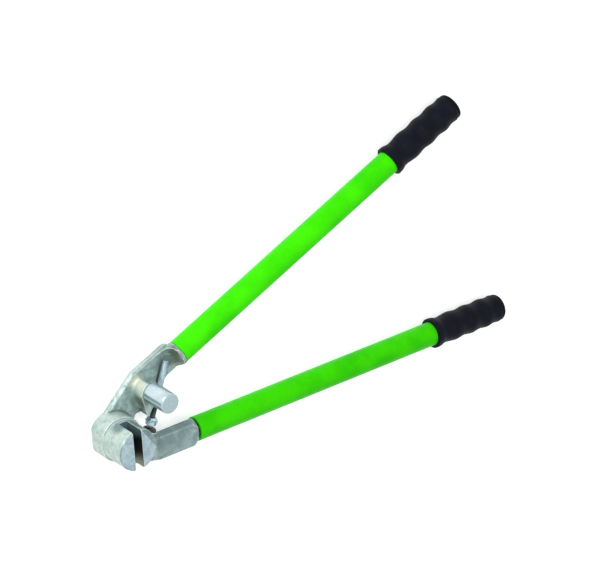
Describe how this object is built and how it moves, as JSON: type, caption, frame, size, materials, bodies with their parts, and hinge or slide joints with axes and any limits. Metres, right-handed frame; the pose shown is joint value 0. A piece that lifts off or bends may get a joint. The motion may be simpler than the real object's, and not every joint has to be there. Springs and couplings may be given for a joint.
{
  "type": "pipe cutter",
  "caption": "Two-handled bar bender on a side pivot: a slotted round jaw on one arm, a bending pin and an adjustable stop screw on the other.",
  "frame": {"origin": "on the pivot axis, in the plane that the tool lies on (the trunnion's end face)", "axes": "+Z along the pivot axis towards the jaw's open face; +X along the jaw arm's handle, towards its grip"},
  "size_m": [0.6804, 0.3691, 0.0741],
  "materials": {
    "zinc_casting": "zinc-plated cast steel, satin grey with a fine cast grain",
    "pin_steel": "turned steel, zinc-plated, satin",
    "plated_steel": "bright zinc plate",
    "spring_steel": "phosphated spring steel",
    "black_steel": "hardened steel, black oxide",
    "bronze": "plain sintered bronze",
    "green_paint": "bright green powder coat, half gloss",
    "grip_rubber": "moulded soft rubber, near black, satin",
    "plug_plastic": "moulded black plastic"
  },
  "bodies": {
    "jaw_arm": {"jaw_casting": "zinc_casting", "jaw_tube": "green_paint", "jaw_grip": "grip_rubber", "jaw_tube_plug": "plug_plastic", "jaw_tube_spring_pin": "spring_steel", "stop_button": "black_steel", "pivot_washer": "plated_steel", "jaw_thrust_washer": "plated_steel", "pivot_retaining_ring": "spring_steel"},
    "pin_arm": {"pin_casting": "zinc_casting", "pin_tube": "green_paint", "pin_grip": "grip_rubber", "pin_tube_plug": "plug_plastic", "pin_tube_spring_pin": "spring_steel", "bending_pin": "pin_steel", "pivot_bush": "bronze"},
    "stop_washer": {"stop_screw_washer": "plated_steel"},
    "stop_screw": {"stop_screw": "plated_steel"},
    "lock_nut": {"stop_lock_nut": "plated_steel"}
  },
  "joints": [
    {"name": "arm_pivot", "type": "hinge", "parent": "jaw_arm", "child": "pin_arm", "pos_m": [0, 0, 0.0215], "axis": [0, 0, 1], "range_deg": [-3, 96]},
    {"name": "stop_screw_travel", "type": "slide", "parent": "pin_arm", "child": "stop_washer", "axis": [0.3681, 0.9298, 0], "range_m": [0, 0.01]},
    {"name": "stop_screw_turn", "type": "hinge", "parent": "stop_washer", "child": "stop_screw", "pos_m": [0.07123, 0.04198, 0.0215], "axis": [0.3681, 0.9298, 0], "range_deg": [0, 2880]},
    {"name": "lock_nut_travel", "type": "slide", "parent": "stop_screw", "child": "lock_nut", "axis": [0.3681, 0.9298, 0], "range_m": [0, 0.0072]}
  ],
  "couplings": [
    {"joint": "stop_screw_turn", "follows": "stop_screw_travel", "rad_per_m": 5026.5}
  ]
}
